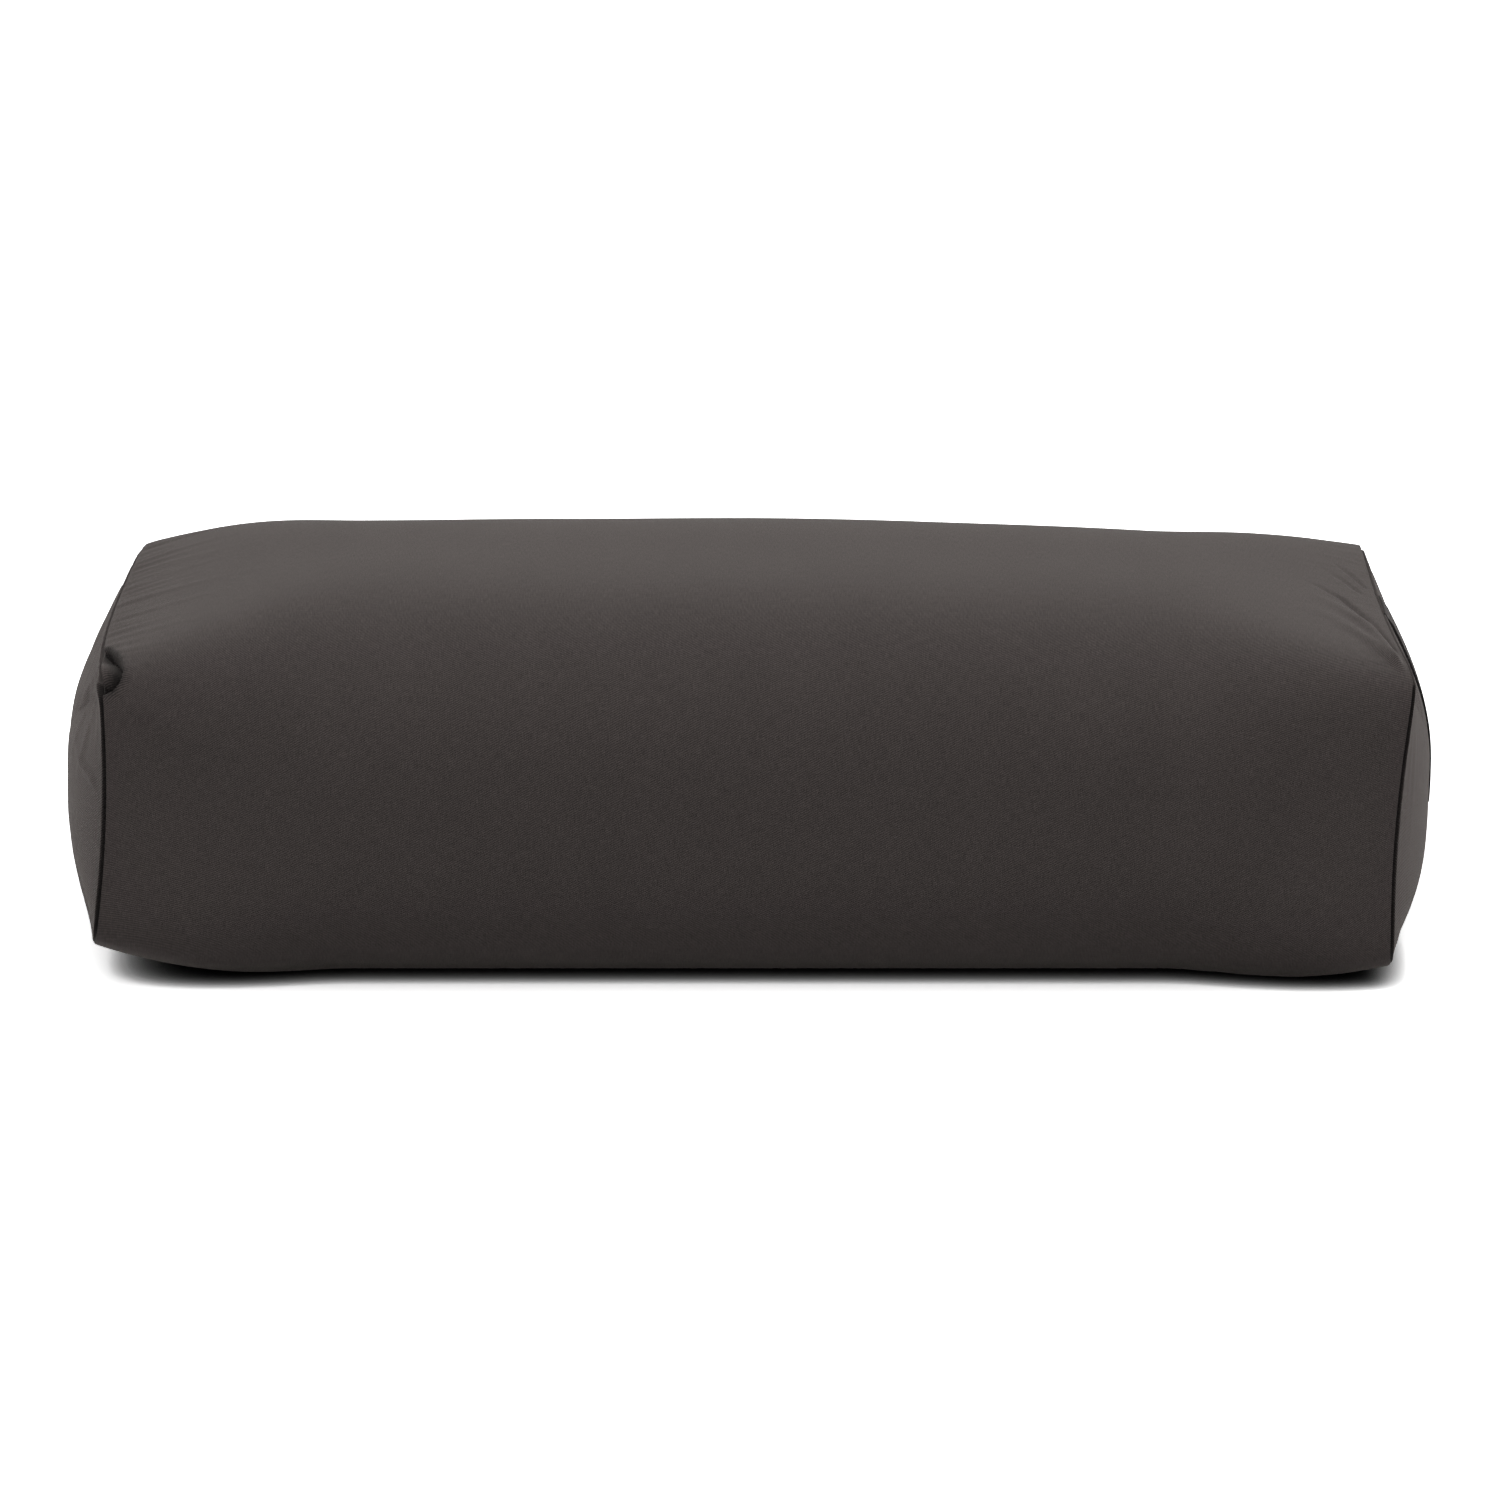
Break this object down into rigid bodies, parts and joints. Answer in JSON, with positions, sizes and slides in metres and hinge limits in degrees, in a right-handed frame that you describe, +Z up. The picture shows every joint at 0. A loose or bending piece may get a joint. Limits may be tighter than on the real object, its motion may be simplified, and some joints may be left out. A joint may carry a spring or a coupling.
{
  "type": "rectangular yoga bolster",
  "caption": "Firm rectangular stuffed bolster with domed ends, a zipped twill cover, a sewn liner, wadding round a foam core and a carrying loop on one end.",
  "frame": {"origin": "on the floor under the middle of the bolster", "axes": "+X along the bolster towards the end with the carrying loop, +Y to the back with the zip, +Z up"},
  "size_m": [0.6566, 0.3151, 0.1806],
  "materials": {
    "cover_twill": "charcoal cotton twill, matt",
    "loop_webbing": "charcoal cotton tape",
    "zip_tape": "black woven tape with moulded teeth",
    "zip_metal": "satin black paint",
    "liner_calico": "unbleached calico",
    "wadding": "white fibre wadding",
    "foam": "open-cell foam"
  },
  "bodies": {
    "bolster": {"cover_wrap_panel": "cover_twill", "cover_end_panel_left": "cover_twill", "cover_end_panel_right": "cover_twill", "zip_tape_upper": "zip_tape", "zip_tape_lower": "zip_tape", "zip_top_stop_upper": "zip_metal", "zip_top_stop_lower": "zip_metal", "zip_bottom_stop": "zip_metal", "liner_wrap_panel": "liner_calico", "liner_end_panel_left": "liner_calico", "liner_end_panel_right": "liner_calico", "wadding_wrap": "wadding", "wadding_end_left": "wadding", "wadding_end_right": "wadding", "foam_core": "foam"},
    "slider": {"zip_slider": "zip_metal"},
    "pull": {"zip_pull_tab": "zip_metal"},
    "loop": {"carry_loop": "loop_webbing"}
  },
  "joints": [
    {"name": "zip_slide", "type": "slide", "parent": "bolster", "child": "slider", "axis": [-1, 0, 0], "range_m": [0, 0.328], "deforming": ["zip_tape_upper", "zip_tape_lower"]},
    {"name": "pull_flip", "type": "hinge", "parent": "slider", "child": "pull", "pos_m": [0.1657, 0.15711, 0.0805], "axis": [0, 0, -1], "range_deg": [0, 175]},
    {"name": "loop_swing", "type": "hinge", "parent": "bolster", "child": "loop", "pos_m": [0.30034, 0, 0.15205], "axis": [0, -1, 0], "range_deg": [0, 150]}
  ]
}
